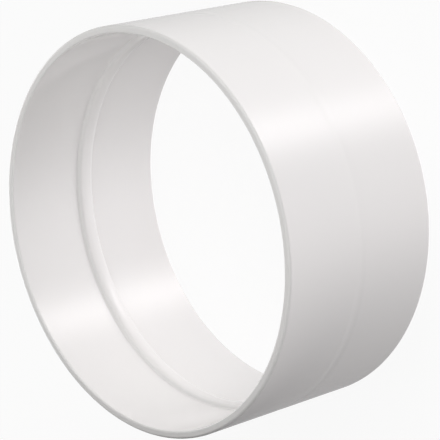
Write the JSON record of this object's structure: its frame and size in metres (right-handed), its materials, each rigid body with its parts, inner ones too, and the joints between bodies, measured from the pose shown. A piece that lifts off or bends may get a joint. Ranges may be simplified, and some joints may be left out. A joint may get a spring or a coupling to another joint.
{
  "type": "duct connector",
  "caption": "Short round duct connector in white plastic: a plain open sleeve with a socket at each end and a low stop bead round the middle of its bore, joining round ducts in line.",
  "frame": {"origin": "centre of the lower end face, where the connector stands", "axes": "+Z along the bore axis and out of the upper socket; the part is round, so X and Y are free"},
  "size_m": [0.104, 0.104, 0.049],
  "materials": {
    "white_plastic": "as moulded, semi-gloss white"
  },
  "bodies": {
    "root": {"connector_body": "white_plastic"}
  },
  "joints": []
}
